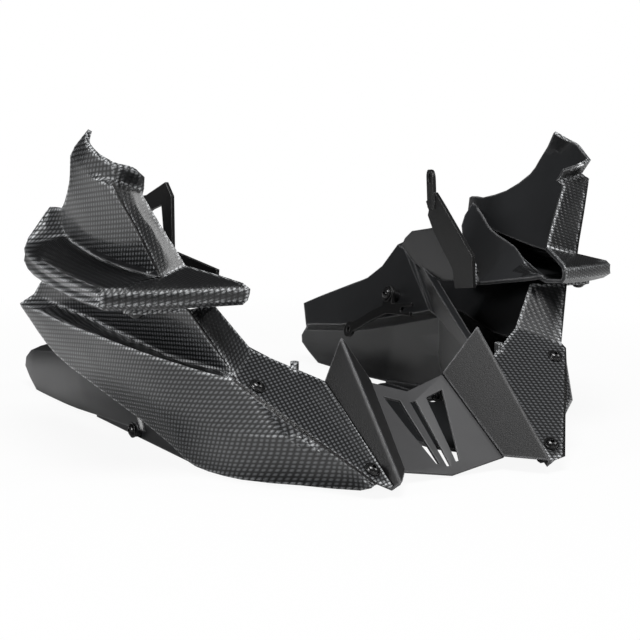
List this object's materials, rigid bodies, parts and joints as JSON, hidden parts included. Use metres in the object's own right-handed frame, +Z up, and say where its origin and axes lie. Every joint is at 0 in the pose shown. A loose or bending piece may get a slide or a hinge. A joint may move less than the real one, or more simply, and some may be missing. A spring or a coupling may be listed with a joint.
{
  "type": "motorcycle belly pan",
  "caption": "Belly pan for a road motorcycle: two carbon-look side shells with winglets, inner keel panels, steel brackets and a slotted centre plate",
  "frame": {"origin": "centre of the bounding box in X and Y, on the ground under the lower edges", "axes": "+X to one side (the right one in the picture), +Y to the rear, +Z up"},
  "size_m": [0.46, 0.475, 0.238],
  "materials": {
    "shell": "woven look, semi-gloss",
    "inner_black": "satin moulded",
    "plate_black": "fine grain",
    "bracket_steel": "satin black coat",
    "spacer_steel": "black coat",
    "bolt_black": "black coat"
  },
  "bodies": {
    "root": {"lower_panel_left": "shell", "lower_panel_right": "shell", "upper_panel_left": "shell", "upper_panel_right": "shell", "keel_panel_left": "inner_black", "keel_panel_right": "inner_black", "floor_panel_left": "inner_black", "floor_panel_right": "inner_black", "front_plate_left": "plate_black", "front_plate_right": "plate_black", "centre_plate": "plate_black", "upper_bracket_left": "bracket_steel", "upper_bracket_right": "bracket_steel", "lower_bracket_left": "bracket_steel", "lower_bracket_right": "bracket_steel", "bracket_spacers": "spacer_steel", "bracket_washers": "spacer_steel", "clip_nuts": "spacer_steel", "front_bolts": "bolt_black", "wing_bolts": "bolt_black", "keel_bolts": "bolt_black", "upper_bracket_bolts": "bolt_black", "lower_bracket_bolts": "bolt_black"}
  },
  "joints": []
}
